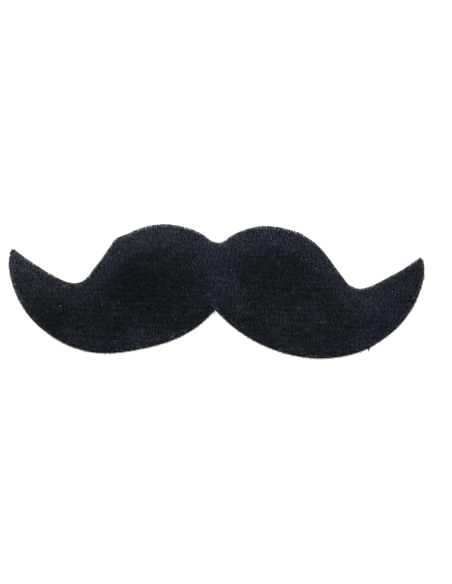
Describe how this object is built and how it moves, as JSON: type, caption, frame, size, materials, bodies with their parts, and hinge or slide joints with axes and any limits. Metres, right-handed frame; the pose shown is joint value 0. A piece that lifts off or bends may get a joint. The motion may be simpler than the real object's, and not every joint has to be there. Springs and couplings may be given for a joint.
{
  "type": "fake moustache",
  "caption": "Self-adhesive costume moustache in a handlebar outline, die-cut from short-pile plush on a peel-off adhesive backing.",
  "frame": {"origin": "on the flat underside, below the middle of the outline's box", "axes": "+X along the span from tip to tip, to the right in the picture; +Y from the lip side to the nose side; +Z out of the pile, away from the adhesive"},
  "size_m": [0.13, 0.041, 0.0025],
  "materials": {
    "plush": "blue-black knitted plush with a short cut pile that leans towards the nose",
    "adhesive_sheet": "double-sided adhesive sheet under pale coated peel-off paper"
  },
  "bodies": {
    "root": {"plush_fabric": "plush", "adhesive_backing": "adhesive_sheet"}
  },
  "joints": []
}
